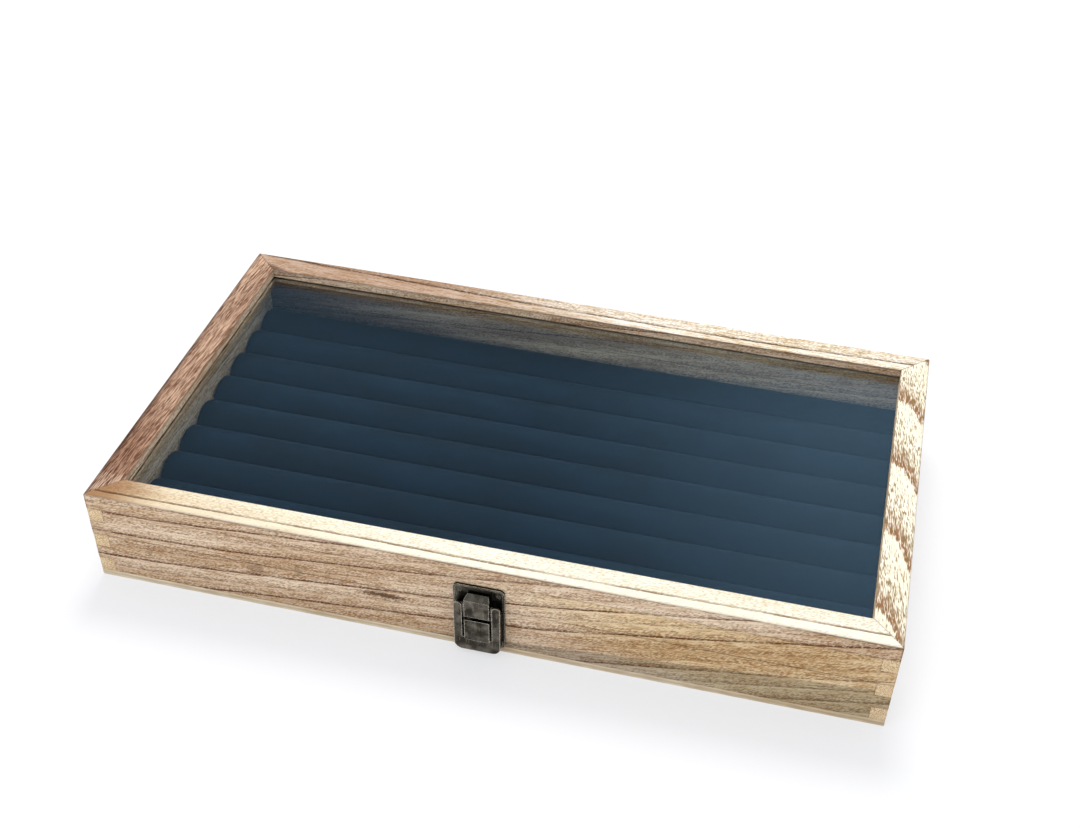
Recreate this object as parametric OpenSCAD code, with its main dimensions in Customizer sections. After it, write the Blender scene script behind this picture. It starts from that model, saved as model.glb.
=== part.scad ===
// Glass-topped wooden ring display box with finger-jointed corners, a ring insert, butt hinges
// and an over-centre toggle latch. Millimetres. X runs along the length, Y from front to back and
// Z up. The origin is at the middle of the underside.

/* [Box] */
// Outside length, left to right
box_l = 375; // [300:1:450]
// Outside depth, front to back
box_w = 210; // [160:1:280]
// Thickness of the boards that make the walls
board_t = 7.5; // [6.5:0.5:10]
// Height of the base's boards
base_board_h = 23.5; // [23:0.5:30]
// Height of the lid's boards
lid_board_h = 15.8; // [15:0.1:22]
// Thickness of the plywood bottom
bottom_t = 3.5; // [2.5:0.5:6]
// Gap between the base and the closed lid
seam_gap = 0.2; // [0.1:0.1:0.5]
// Fingers in the height of a base corner
base_fingers = 3; // [2:1:5]
// Fingers in the height of a lid corner
lid_fingers = 2; // [2:1:4]

/* [Top frame and glass] */
// Width of the mitred sticks
stick_w = 14; // [12:0.5:20]
// Height of the mitred sticks
stick_h = 9; // [8:0.5:14]
// Radius of the sticks' top outer arris
outer_arris = 1.2; // [0.4:0.1:2]
// Radius of the sticks' top inner arris
inner_arris = 0.6; // [0.3:0.1:1.5]
// Wood above the glass groove
glass_depth = 4.8; // [3:0.1:5.5]
// Thickness of the glass
glass_t = 2; // [1.5:0.1:2.5]
// How far the groove goes into the stick
groove_depth = 4; // [2:0.5:5]
// Play of the glass in the height of its groove
groove_play = 0.2; // [0.1:0.05:0.4]
// Play between the glass edge and the end of its groove
glass_edge_play = 0.5; // [0.2:0.1:1]

/* [Ring insert] */
// Number of padded rolls, front to back
roll_count = 9; // [6:1:11]
// Height of a roll's crest above the insert's board
roll_h = 19.5; // [17:0.5:20]
// Height of a roll's flank, where it meets the next roll
flank_h = 14; // [11:0.5:15]
// Slit between neighbouring rolls that grips a ring
slit = 0.3; // [0.2:0.1:0.6]
// Thickness of the board that carries the rolls
insert_board_t = 2; // [1.5:0.5:3]
// Play between the insert and the walls
insert_play = 0.5; // [0.3:0.1:1.5]

/* [Hinges] */
// Distance from an end of the box to the middle of its hinge
hinge_inset = 67.5; // [30:0.5:150]
// Length of a hinge along its pin
hinge_l = 25; // [20:1:40]
// Height of a hinge leaf from the pin
leaf_h = 13; // [12:0.5:14]
// Thickness of a leaf
leaf_t = 0.8; // [0.6:0.1:1.2]
// Radius of a leaf's rounded corners
leaf_corner = 2; // [1:0.5:3]
// Radius of the barrel
barrel_r = 1.9; // [1.7:0.1:2.5]
// Radius of the hinge pin
hinge_pin_r = 0.9; // [0.7:0.1:1.1]
// Radial clearance of the lid leaf on the pin
hinge_fit = 0.05; // [0.02:0.01:0.1]
// Radius of the rounded head at each end of the pin
pin_head_r = 1.5; // [1.3:0.1:1.6]
// Height of the pin's head
pin_head_h = 0.6; // [0.4:0.1:1]
// Distance between the two screws of a leaf
leaf_screw_pitch = 16; // [10:1:18]
// Height of the leaf screws above or below the pin
leaf_screw_z = 8; // [7:0.5:9]

/* [Screws] */
// Radius of the screws' shanks
screw_r = 0.9; // [0.7:0.1:1.1]
// Length of the shanks under the head
screw_l = 6; // [4:0.5:6]
// Radius of the heads
screw_head_r = 1.5; // [1.3:0.1:1.7]
// Height of the domed heads
screw_head_h = 0.8; // [0.5:0.1:1]

/* [Latch plates] */
// Distance of the latch from the middle of the front, to the right
latch_x = 1.3; // [-60:0.1:60]
// Width of both plates
plate_w = 24; // [24:0.5:30]
// Thickness of the plates' sheet
plate_t = 0.8; // [0.6:0.1:1]
// Height of the catch plate's top edge above the lid's lower edge
catch_plate_h = 13.6; // [13.6:0.1:14.5]
// Distance from the base plate's lower edge to the base's top edge
base_plate_h = 23.7; // [20:0.1:24]
// Distance of both plates from the seam's edges
plate_setback = 0.2; // [0.1:0.1:0.8]
// Radius of the plates' rounded corners
plate_corner = 2.6; // [1.5:0.1:3.5]
// Width of the raised rim
rim_w = 1; // [0.6:0.1:1.1]
// Height of the raised rim above the sheet
rim_h = 0.4; // [0.2:0.1:0.5]
// Distance between the catch plate's screws
catch_screw_pitch = 18; // [17:0.5:18]
// Height of the catch plate's screws above the lid's lower edge
catch_screw_z = 9.1; // [9:0.1:10]
// Distance between the base plate's screws
base_screw_pitch = 16.8; // [13:0.1:16.8]
// Distance of the base plate's screws below the base's top edge
base_screw_z = 19; // [17:0.5:20]

/* [Latch mechanism] */
// Distance of the lever's pivot from the front face
pivot_out = 3.65; // [3.6:0.05:3.7]
// Height of the lever's pivot above the seam
pivot_up = 4; // [3.6:0.1:4.1]
// Distance from the lever's pivot down to the hook's pin
throw = 7; // [6.9:0.05:7.2]
// How far the hook's pin lies behind the lever's pivot, which locks the latch
over_centre = 0.45; // [0.4:0.05:0.55]
// Thickness of the lever's and the hook's sheet
lever_t = 0.75; // [0.65:0.05:0.8]
// Outside width of the lever
lever_w = 21.7; // [21:0.1:21.8]
// Width of the window between the lever's arms
window_w = 14; // [14:0.1:14.4]
// Width of the lever's tongue and of the hook
tongue_w = 11.8; // [10:0.1:11.9]
// Radius of the tongue's lower corners
tongue_corner = 1.2; // [0.5:0.1:3]
// How far the tongue laps over the lever's bar
tongue_lap = 1.4; // [0.8:0.1:3]
// Distance of the lever's back face from the front face
lever_out = 4.45; // [4.4:0.05:4.5]
// How far the tongue and the hook stand forward of the lever
tongue_step = 0.25; // [0.2:0.05:0.3]
// How far the arms reach above the pivot
arm_over = 2.1; // [1.7:0.05:2.3]
// Length of the lever below its pivot
lever_drop = 28.2; // [26:0.1:29.5]
// Height of the bar that joins the two arms
lever_bar_h = 8.4; // [5:0.1:9]
// Radius of the lever's lower corners
lever_corner = 4; // [2:0.5:5]
// Radius of the arms' rounded ends
arm_corner = 1.7; // [1:0.1:1.8]
// Depth of the turned-back edge along each arm
skirt_d = 3; // [1.5:0.1:3.3]
// Thickness of the ears that carry the lever
ear_t = 0.7; // [0.6:0.05:0.8]
// Radius of the ears' round ends
ear_r = 1.2; // [1:0.05:1.3]
// Gap beside each ear
ear_gap = 0.2; // [0.15:0.05:0.3]
// Radius of the rivets that the lever turns on
rivet_r = 0.5; // [0.4:0.05:0.6]
// Radius of the rivets' heads
rivet_head_r = 0.72; // [0.65:0.01:0.75]
// Thickness of the rivets' heads
rivet_head_t = 0.4; // [0.3:0.1:0.8]
// Radius of the knuckles round the hook's pin
knuckle_r = 1.2; // [1.1:0.05:1.3]
// Radius of the hook's pin
hook_pin_r = 0.55; // [0.45:0.05:0.6]
// Radial clearance of the rivets and of the hook's pin
latch_fit = 0.05; // [0.02:0.01:0.1]
// Gap between neighbouring knuckles
knuckle_gap = 0.15; // [0.1:0.05:0.3]
// Distance from the hook's pin up to the hook's lower edge
slot_up = 0.8; // [0.75:0.05:0.95]
// Distance from the hook's pin down to the tongue's upper edge
slot_down = 1.35; // [1.3:0.05:1.5]
// Distance from the hook's pin up to the outside bend at the hook's top
hook_h = 11; // [10.9:0.05:11.1]
// How far the hook's sloping top rises above that bend
hook_rise = 1.7; // [1.6:0.05:1.8]
// How much narrower each side of the hook's tip is than its front
hook_taper = 0.9; // [0.3:0.1:1.3]
// Bevel at the back of the hook's top
hook_bevel = 0.65; // [0.6:0.05:0.7]
// Thickness of the hook's tip
tip_t = 0.6; // [0.5:0.05:0.65]
// Gap between the hook's tip and the catch plate
tip_gap = 0.3; // [0.25:0.05:0.35]
// Height by which the hook's tip reaches down behind the lip
tip_grip = 0.4; // [0.3:0.05:0.4]
// Room in front of the hook's tip, for its swing out over the lip
tip_room = 2; // [1.95:0.05:2.05]
// Thickness of the catch plate's lip
lip_t = 0.55; // [0.5:0.05:0.6]
// Width of the lip
lip_w = 9; // [6:0.5:10]
// Height of the lip
lip_h = 2.6; // [2:0.1:2.8]

/* [Hidden] */
$fn = 64;
over = 1;

// Levels and inside sizes of the box
base_top = bottom_t + base_board_h;
lid_bottom = base_top + seam_gap;
frame_bottom = lid_bottom + lid_board_h;
inner_l = box_l - 2 * board_t;
inner_w = box_w - 2 * board_t;

// Glass groove, measured from the sticks' underside
groove_h = glass_t + groove_play;
groove_z = stick_h - glass_depth - groove_h;
pane_l = box_l - 2 * stick_w + 2 * (groove_depth - glass_edge_play);
pane_w = box_w - 2 * stick_w + 2 * (groove_depth - glass_edge_play);

// Insert: a roll's top is an arc through its crest and both flank tops
insert_l = inner_l - 2 * insert_play;
insert_w = inner_w - 2 * insert_play;
roll_pitch = insert_w / roll_count;
roll_w = roll_pitch - slit;
arc_rise = roll_h - flank_h;
arc_r = (pow(roll_w / 2, 2) + pow(arc_rise, 2)) / (2 * arc_rise);

// Hinge: the barrel stands just clear of the back, with its pin level with the seam
barrel_gap = 0.1;
hinge_out = barrel_r + barrel_gap;
hinge_z = base_top + seam_gap / 2;
hinge_x = box_l / 2 - hinge_inset;
knuckle_l = hinge_l / 3;
leaf_notch = barrel_r + 0.2;

// Latch plates
catch_bottom = lid_bottom + plate_setback;
catch_top = lid_bottom + catch_plate_h;
base_plate_top = base_top - plate_setback;
base_plate_bottom = base_top - base_plate_h;

// Latch mechanism: distances out from the front face, and heights
pivot_z = lid_bottom + pivot_up;
pin_out = pivot_out - over_centre;
pin_z = pivot_z - throw;
tongue_out = lever_out + tongue_step;
bend_z = pin_z + hook_h;
tip_back = plate_t + tip_gap;
tip_front = tip_back + tip_t;
hook_top = bend_z + hook_rise;
tip_lead = 0.5;
slope_start = tip_front + tip_lead;
lip_back = tip_front + tip_room;
lip_front = lip_back + lip_t;
inner_bend_z = bend_z - lever_t / 3;
inner_top = hook_top - lever_t;
inner_slope = (inner_top - inner_bend_z) / (tongue_out - slope_start);
lip_play = 0.05;
lip_top = inner_bend_z + (tongue_out - lip_front) * inner_slope - lip_play;
tip_bottom = lip_top - tip_grip;
ear_x = tongue_w / 2 + ear_gap;
flange_x = window_w / 2;
mid_knuckle = tongue_w / 3;
ear_root_h = 11;

// ---------------------------------------------------------------- helpers

// Counted from the top, every second finger of a corner belongs to the end board.
function end_finger(i, n) = (n - 1 - i) % 2 == 0;

// Box that covers finger i of n, running past the board's own edges.
module finger_cut(h, n, i, size_x, size_y) {
  low = i == 0 ? -over : i * h / n;
  high = i == n - 1 ? h + over : (i + 1) * h / n;
  translate([0, 0, low]) cube([size_x, size_y, high - low]);
}

// Front or back board, with its outer face at y = 0 and its inside towards +y.
module long_board(h, n) {
  difference() {
    translate([-box_l / 2, 0, 0]) cube([box_l, board_t, h]);
    for (i = [0 : n - 1], side = [0, 1])
      if (end_finger(i, n))
        mirror([side, 0, 0])
          translate([box_l / 2 - board_t, -over, 0])
            finger_cut(h, n, i, board_t + over, board_t + 2 * over);
  }
}

// Left or right board, with its outer face at x = 0 and its inside towards +x.
module end_board(h, n) {
  difference() {
    translate([0, -box_w / 2, 0]) cube([board_t, box_w, h]);
    for (i = [0 : n - 1], side = [0, 1])
      if (!end_finger(i, n))
        mirror([0, side, 0])
          translate([-over, box_w / 2 - board_t, 0])
            finger_cut(h, n, i, board_t + 2 * over, board_t + over);
  }
}

// Takes a square corner at the origin down to a quarter round that faces +x +y.
module arris_cut(r) {
  translate([-r, -r])
    difference() {
      square(r + over);
      circle(r);
    }
}

// Section of a top stick: outer face at x = 0, underside at y = 0.
module stick_section() {
  difference() {
    square([stick_w, stick_h]);
    translate([0, stick_h]) mirror([1, 0]) arris_cut(outer_arris);
    translate([stick_w, stick_h]) arris_cut(inner_arris);
    translate([stick_w - groove_depth, groove_z]) square([groove_depth + over, groove_h]);
  }
}

// Top stick with mitred ends: outer face at y = 0, its inner side towards +y.
module top_stick(length) {
  intersection() {
    translate([-length / 2, 0, 0])
      rotate([90, 0, 90]) linear_extrude(length) stick_section();
    linear_extrude(stick_h)
      polygon([[-length / 2, 0], [length / 2, 0], [length / 2 - stick_w, stick_w],
               [-length / 2 + stick_w, stick_w]]);
  }
}

// Domed screw along +y: the head's seat is at y = 0 and the shank goes into +y.
module screw() {
  dome_r = (pow(screw_head_r, 2) + pow(screw_head_h, 2)) / (2 * screw_head_h);
  rotate([-90, 0, 0]) {
    cylinder(h = screw_l, r = screw_r);
    intersection() {
      translate([0, 0, dome_r - screw_head_h]) sphere(dome_r);
      translate([0, 0, -screw_head_h]) cylinder(h = screw_head_h, r = screw_head_r + over);
    }
  }
}

// Hole for a screw's shank, which runs on past both of its ends.
module screw_hole() {
  translate([0, -over, 0])
    rotate([-90, 0, 0]) cylinder(h = screw_l + over, r = screw_r);
}

// Places of the screws of both leaves above the seam (up = 1) or below it (up = -1).
module at_hinge_screws(up) {
  for (side = [-1, 1], k = [-1, 1])
    translate([side * hinge_x + k * leaf_screw_pitch / 2, box_w / 2, hinge_z + up * leaf_screw_z])
      rotate([0, 0, 180]) children();
}

module at_catch_screws() {
  for (k = [-1, 1])
    translate([latch_x + k * catch_screw_pitch / 2, -box_w / 2, lid_bottom + catch_screw_z])
      children();
}

module at_base_screws() {
  for (k = [-1, 1])
    translate([latch_x + k * base_screw_pitch / 2, -box_w / 2, base_top - base_screw_z])
      children();
}

// ---------------------------------------------------------------- base

module bottom_panel() {
  color("#b59b74")
    translate([-box_l / 2, -box_w / 2, 0]) cube([box_l, box_w, bottom_t]);
}

module base_front_board() {
  color("#b2916f")
    difference() {
      translate([0, -box_w / 2, bottom_t]) long_board(base_board_h, base_fingers);
      at_base_screws() screw_hole();
    }
}

module base_back_board() {
  color("#b2916f")
    difference() {
      translate([0, box_w / 2, bottom_t])
        mirror([0, 1, 0]) long_board(base_board_h, base_fingers);
      at_hinge_screws(-1) screw_hole();
    }
}

module base_left_board() {
  color("#a58564")
    translate([-box_l / 2, 0, bottom_t]) end_board(base_board_h, base_fingers);
}

module base_right_board() {
  color("#a58564")
    translate([box_l / 2, 0, bottom_t])
      mirror([1, 0, 0]) end_board(base_board_h, base_fingers);
}

// ---------------------------------------------------------------- insert

module insert_board() {
  color("#1b2733")
    translate([-insert_l / 2, -insert_w / 2, bottom_t])
      cube([insert_l, insert_w, insert_board_t]);
}

// Roll number i, counted from the front: flat flanks under a round crest.
module foam_roll(i) {
  color("#22313f")
    translate([-insert_l / 2, -insert_w / 2 + (i - 0.5) * roll_pitch, bottom_t + insert_board_t])
      rotate([90, 0, 90])
        linear_extrude(insert_l)
          intersection() {
            translate([-roll_w / 2, 0]) square([roll_w, roll_h]);
            translate([0, roll_h - arc_r]) circle(arc_r, $fn = 128);
          }
}

// ---------------------------------------------------------------- lid

module lid_front_board() {
  color("#b2916f")
    difference() {
      translate([0, -box_w / 2, lid_bottom]) long_board(lid_board_h, lid_fingers);
      at_catch_screws() screw_hole();
    }
}

module lid_back_board() {
  color("#b2916f")
    difference() {
      translate([0, box_w / 2, lid_bottom])
        mirror([0, 1, 0]) long_board(lid_board_h, lid_fingers);
      at_hinge_screws(1) screw_hole();
    }
}

module lid_left_board() {
  color("#a58564")
    translate([-box_l / 2, 0, lid_bottom]) end_board(lid_board_h, lid_fingers);
}

module lid_right_board() {
  color("#a58564")
    translate([box_l / 2, 0, lid_bottom])
      mirror([1, 0, 0]) end_board(lid_board_h, lid_fingers);
}

// Stick of the top frame on one side: turn 0 is the front, and it goes round by quarters.
module frame_stick(turn, length, reach) {
  color("#e2cda0")
    rotate([0, 0, turn]) translate([0, -reach / 2, frame_bottom]) top_stick(length);
}

module glass_pane() {
  color("#dfeef2", 0.35)
    translate([-pane_l / 2, -pane_w / 2, frame_bottom + groove_z]) cube([pane_l, pane_w, glass_t]);
}

// ---------------------------------------------------------------- hinges

// Leaf outline above the pin's axis, with rounded free corners.
module leaf_outline() {
  translate([-hinge_l / 2, 0]) square([hinge_l, leaf_h - leaf_corner]);
  translate([-hinge_l / 2 + leaf_corner, 0]) square([hinge_l - 2 * leaf_corner, leaf_h]);
  for (k = [-1, 1])
    translate([k * (hinge_l / 2 - leaf_corner), leaf_h - leaf_corner]) circle(leaf_corner);
}

// Upward leaf about the pin's axis, which owns the knuckles in the list own, out of 0, 1 and 2.
module leaf(own, bore_r) {
  difference() {
    union() {
      translate([0, leaf_t - hinge_out, 0])
        rotate([90, 0, 0]) linear_extrude(leaf_t) leaf_outline();
      for (i = own)
        translate([-hinge_l / 2 + i * knuckle_l, 0, 0])
          rotate([0, 90, 0]) cylinder(h = knuckle_l, r = barrel_r);
    }
    for (i = [0 : 2])
      if (len(search(i, own)) == 0)
        translate([-hinge_l / 2 + i * knuckle_l - knuckle_gap, -hinge_out - over, -leaf_notch])
          cube([knuckle_l + 2 * knuckle_gap, 2 * hinge_out + 2 * over, 2 * leaf_notch]);
    translate([-hinge_l / 2 - over, 0, 0])
      rotate([0, 90, 0]) cylinder(h = hinge_l + 2 * over, r = bore_r);
    for (k = [-1, 1])
      translate([k * leaf_screw_pitch / 2, leaf_t - hinge_out, leaf_screw_z])
        rotate([0, 0, 180]) screw_hole();
  }
}

module at_hinge(side) {
  translate([side * hinge_x, box_w / 2 + hinge_out, hinge_z]) children();
}

module base_leaf(side) {
  color("#5a5048") at_hinge(side) mirror([0, 0, 1]) leaf([0, 2], hinge_pin_r);
}

module lid_leaf(side) {
  color("#5a5048") at_hinge(side) leaf([1], hinge_pin_r + hinge_fit);
}

// Pin with a low round head outside each end of the barrel.
module hinge_pin(side) {
  color("#6d6258")
    at_hinge(side) {
      translate([-hinge_l / 2, 0, 0]) rotate([0, 90, 0]) cylinder(h = hinge_l, r = hinge_pin_r);
      for (k = [0, 1])
        mirror([k, 0, 0])
          translate([hinge_l / 2, 0, 0]) rotate([0, 90, 0]) cylinder(h = pin_head_h, r = pin_head_r);
    }
}

module hinge_base_screws() {
  color("#4a433c") at_hinge_screws(-1) translate([0, -leaf_t, 0]) screw();
}

module hinge_lid_screws() {
  color("#4a433c") at_hinge_screws(1) translate([0, -leaf_t, 0]) screw();
}

// ---------------------------------------------------------------- latch

// Draws a front view (x, z) as a sheet that starts at a distance out from the front face.
module front_sheet(out, thick) {
  translate([latch_x, -box_w / 2 - out, 0]) rotate([90, 0, 0]) linear_extrude(thick) children();
}

// Draws a side view (out, z) as a bent strip, from x to x + width beside the latch's middle.
module bent_strip(x, width) {
  translate([latch_x + x, -box_w / 2, 0])
    mirror([0, 1, 0]) rotate([90, 0, 90]) linear_extrude(width) children();
}

// The same side view, drawn at the right and mirrored to the left of the latch's middle.
module both_sides(x, width) {
  bent_strip(x, width) children();
  bent_strip(-x - width, width) children();
}

// Pin along X through a point of the side view.
module cross_pin(x, length, out, z, r) {
  translate([latch_x + x, -box_w / 2 - out, z]) rotate([0, 90, 0]) cylinder(h = length, r = r);
}

// Rectangle of width w from the level low to high, with both corners at the level high rounded.
module tab(w, low, high, r) {
  dir = sign(high - low);
  translate([-w / 2, min(low, high - dir * r)]) square([w, abs(high - low) - r]);
  translate([-w / 2 + r, min(low, high)]) square([w - 2 * r, abs(high - low)]);
  for (k = [-1, 1])
    translate([k * (w / 2 - r), high - dir * r]) circle(r);
}

// Sheet plate with a raised rim along its sides and its rounded end.
module rimmed_plate(low, high) {
  dir = sign(high - low);
  front_sheet(0, plate_t) tab(plate_w, low, high, plate_corner);
  front_sheet(0, plate_t + rim_h)
    difference() {
      tab(plate_w, low, high, plate_corner);
      tab(plate_w - 2 * rim_w, low - dir * over, high - dir * rim_w, plate_corner - rim_w);
    }
}

// Lid plate: its lip is cut from the sheet below and bent out to face up.
module latch_catch_plate() {
  root = lip_top - lip_h;
  color("#4b463e")
    difference() {
      union() {
        rimmed_plate(catch_bottom, catch_top);
        bent_strip(-lip_w / 2, lip_w)
          polygon([[plate_t / 2, root], [lip_front, root], [lip_front, lip_top],
                   [lip_back, lip_top], [lip_back, root + lip_t], [plate_t / 2, root + lip_t]]);
      }
      front_sheet(-over, plate_t + 2 * over)
        translate([-lip_w / 2, catch_bottom + rim_w])
          square([lip_w, root - catch_bottom - rim_w]);
      at_catch_screws() screw_hole();
    }
}

// Base plate: two ears stand on it and reach up past the seam to the lever's pivot.
module latch_base_plate() {
  color("#4b463e")
    difference() {
      union() {
        rimmed_plate(base_plate_top, base_plate_bottom);
        both_sides(ear_x, ear_t) {
          translate([pivot_out, pivot_z]) circle(ear_r);
          polygon([[plate_t / 2, base_plate_top - ear_root_h], [plate_t / 2, base_plate_top],
                   [plate_t + rim_h, base_plate_top + 1], [pivot_out - ear_r, pivot_z],
                   [pivot_out + ear_r, pivot_z], [pin_out + knuckle_r, pin_z],
                   [plate_t + rim_h, base_plate_top - ear_root_h]]);
        }
      }
      cross_pin(-window_w, 2 * window_w, pivot_out, pivot_z, rivet_r);
      at_base_screws() translate([0, -over, 0]) screw_hole();
    }
}

// Lever seen from the front: two arms joined by a bar at the bottom.
module lever_outline() {
  low = pivot_z - lever_drop;
  arm_w = (lever_w - window_w) / 2;
  translate([0, low + lever_bar_h]) mirror([0, 1]) tab(lever_w, 0, lever_bar_h, lever_corner);
  for (k = [-1, 1])
    translate([k * (window_w + arm_w) / 2, low + lever_bar_h])
      tab(arm_w, -over, lever_drop - lever_bar_h + arm_over, arm_corner);
}

// Lever: arms with turned-back edges, flanges on the rivets and a tongue that holds the hook.
module latch_lever() {
  low = pivot_z - lever_drop;
  color("#57514a")
    difference() {
      union() {
        front_sheet(lever_out, lever_t) lever_outline();
        both_sides(flange_x, lever_t) {
          translate([pivot_out, pivot_z]) circle(ear_r);
          translate([pivot_out, pivot_z - 2 * ear_r])
            square([lever_out + lever_t / 2 - pivot_out, 2 * ear_r + arm_over / 2]);
        }
        both_sides(lever_w / 2 - lever_t, lever_t)
          translate([lever_out - skirt_d, low + lever_corner])
            square([skirt_d + lever_t / 2, lever_drop - lever_corner - 2 * ear_r]);
        front_sheet(tongue_out, lever_t)
          tab(tongue_w, pin_z - slot_down, low + lever_bar_h - tongue_lap, tongue_corner);
        bent_strip(-mid_knuckle / 2 + knuckle_gap, mid_knuckle - 2 * knuckle_gap) {
          translate([pin_out, pin_z]) circle(knuckle_r);
          polygon([[pin_out - knuckle_r / 2, pin_z], [pin_out + knuckle_r / 2, pin_z],
                   [pin_out + knuckle_r / 2, pin_z - slot_down],
                   [tongue_out + lever_t / 2, pin_z - slot_down],
                   [tongue_out + lever_t / 2, pin_z - slot_down - lever_t],
                   [pin_out - knuckle_r / 2, pin_z - slot_down - lever_t]]);
        }
      }
      cross_pin(-window_w, 2 * window_w, pivot_out, pivot_z, rivet_r + latch_fit);
      cross_pin(-tongue_w, 2 * tongue_w, pin_out, pin_z, hook_pin_r + latch_fit);
    }
}

// Rivets through the ears: flush inside, with a flat head outside the lever's flanges.
module latch_rivets() {
  shank = flange_x + lever_t + latch_fit - ear_x;
  color("#7a7166")
    for (side = [0, 1])
      translate([latch_x, 0, 0]) mirror([side, 0, 0]) translate([-latch_x, 0, 0]) {
        cross_pin(ear_x, shank, pivot_out, pivot_z, rivet_r);
        cross_pin(ear_x + shank, rivet_head_t, pivot_out, pivot_z, rivet_head_r);
      }
}

// The hook seen from above: full width in front, narrowing along its slope to the tip.
module hook_plan(front) {
  tip_w = tongue_w - 2 * hook_taper;
  translate([latch_x, -box_w / 2, pin_z])
    mirror([0, 1, 0])
      linear_extrude(hook_h + hook_rise + over)
        polygon([[-tongue_w / 2, front + over], [-tongue_w / 2, tongue_out],
                 [-tip_w / 2, slope_start], [-tip_w / 2, tip_back - over],
                 [tip_w / 2, tip_back - over], [tip_w / 2, slope_start],
                 [tongue_w / 2, tongue_out], [tongue_w / 2, front + over]]);
}

// Pull hook: a bent strip whose tip drops behind the lip, with two knuckles on its pin.
module latch_pull_hook() {
  front = tongue_out + lever_t;
  strip_bottom = pin_z + slot_up;
  color("#5d564d")
    difference() {
      union() {
        intersection() {
          bent_strip(-tongue_w / 2 - over, tongue_w + 2 * over)
            polygon([[front, strip_bottom], [front, bend_z], [slope_start, hook_top],
                     [tip_back + hook_bevel, hook_top], [tip_back, hook_top - 1.5 * hook_bevel],
                     [tip_back, tip_bottom], [tip_front, tip_bottom],
                     [tip_front, inner_top], [slope_start, inner_top],
                     [tongue_out, inner_bend_z], [tongue_out, strip_bottom]]);
          hook_plan(front);
        }
        both_sides(mid_knuckle / 2, tongue_w / 2 - mid_knuckle / 2) {
          translate([pin_out, pin_z]) circle(knuckle_r);
          translate([pin_out, strip_bottom]) square([front - pin_out, lever_t]);
        }
      }
      cross_pin(-tongue_w, 2 * tongue_w, pin_out, pin_z, hook_pin_r);
    }
}

module latch_hook_pin() {
  color("#7a7166") cross_pin(-tongue_w / 2, tongue_w, pin_out, pin_z, hook_pin_r);
}

module latch_base_screws() {
  color("#4a433c") at_base_screws() translate([0, -plate_t, 0]) screw();
}

module latch_catch_screws() {
  color("#4a433c") at_catch_screws() translate([0, -plate_t, 0]) screw();
}

// ---------------------------------------------------------------- assembly

bottom_panel();
base_front_board();
base_back_board();
base_left_board();
base_right_board();
insert_board();
for (i = [1 : roll_count]) foam_roll(i);
lid_front_board();
lid_back_board();
lid_left_board();
lid_right_board();
frame_stick(0, box_l, box_w);  // top_frame_front
frame_stick(180, box_l, box_w);  // top_frame_back
frame_stick(-90, box_w, box_l);  // top_frame_left
frame_stick(90, box_w, box_l);  // top_frame_right
glass_pane();
base_leaf(-1);  // hinge_left_base_leaf
base_leaf(1);  // hinge_right_base_leaf
lid_leaf(-1);  // hinge_left_lid_leaf
lid_leaf(1);  // hinge_right_lid_leaf
hinge_pin(-1);  // hinge_left_pin
hinge_pin(1);  // hinge_right_pin
hinge_base_screws();
hinge_lid_screws();
latch_base_plate();
latch_base_screws();
latch_catch_plate();
latch_catch_screws();
latch_lever();
latch_rivets();
latch_pull_hook();
latch_hook_pin();
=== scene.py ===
# %% [markdown]
# # A glass-topped ring display box
# The construction is already done: every board, leaf and screw arrives as a CAD node in metres,
# with its place in its mesh. This file only dresses it. Wood, glass and metal nodes keep their
# shapes and get finishes. The plain foam rolls and screws are replaced by detailed pieces, and
# a pale studio is set up around the box.

import math

import bmesh
import bpy
import numpy as np
from mathutils import Matrix, Vector, noise


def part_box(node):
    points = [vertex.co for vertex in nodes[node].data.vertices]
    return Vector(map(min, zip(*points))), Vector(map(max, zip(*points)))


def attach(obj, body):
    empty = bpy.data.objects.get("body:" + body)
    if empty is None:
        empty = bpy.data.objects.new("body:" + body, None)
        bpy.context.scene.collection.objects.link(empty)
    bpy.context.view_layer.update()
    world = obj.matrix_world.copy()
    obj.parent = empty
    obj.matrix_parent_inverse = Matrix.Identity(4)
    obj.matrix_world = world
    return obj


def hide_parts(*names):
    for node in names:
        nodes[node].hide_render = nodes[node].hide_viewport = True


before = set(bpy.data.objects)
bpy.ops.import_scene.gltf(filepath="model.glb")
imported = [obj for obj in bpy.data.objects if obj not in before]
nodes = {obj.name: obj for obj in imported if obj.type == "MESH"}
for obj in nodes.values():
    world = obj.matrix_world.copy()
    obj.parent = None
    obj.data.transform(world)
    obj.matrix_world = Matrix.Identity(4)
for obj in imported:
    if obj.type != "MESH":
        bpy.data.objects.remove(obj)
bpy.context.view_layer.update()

# %% [markdown]
# ## Studio
# The box stands on a white table. Its main lamp hangs high above and behind it, so the shadow
# falls forwards and stays short. A floor could be lit until it turns white, but that would burn
# out the pale wood too. So the table mixes its own shading with plain white. Only rays that come
# from the camera, a mirror or a pane see that part, and it grows with distance, so the table
# ends in white and no horizon shows.

# %% Colours and nodes
def paint(code):
    """Linear colour, with alpha, from a six-figure sRGB hex code."""
    parts = [int(code[i:i + 2], 16) / 255 for i in (0, 2, 4)]
    return [p / 12.92 if p <= 0.04045 else ((p + 0.055) / 1.055) ** 2.4 for p in parts] + [1.0]


def place(tree, kind, values=None, **settings):
    """Adds a node, with its settings, and a number or a link for each input by name or number."""
    node = tree.nodes.new("ShaderNode" + kind)
    for name, value in settings.items():
        setattr(node, name, value)
    for name, value in (values or {}).items():
        if isinstance(value, bpy.types.NodeSocket):
            tree.links.new(value, node.inputs[name])
        else:
            node.inputs[name].default_value = value
    return node


def calc(tree, operation, *terms):
    """One Math node, which takes numbers and links."""
    return place(tree, "Math", dict(enumerate(terms)), operation=operation).outputs[0]


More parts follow.
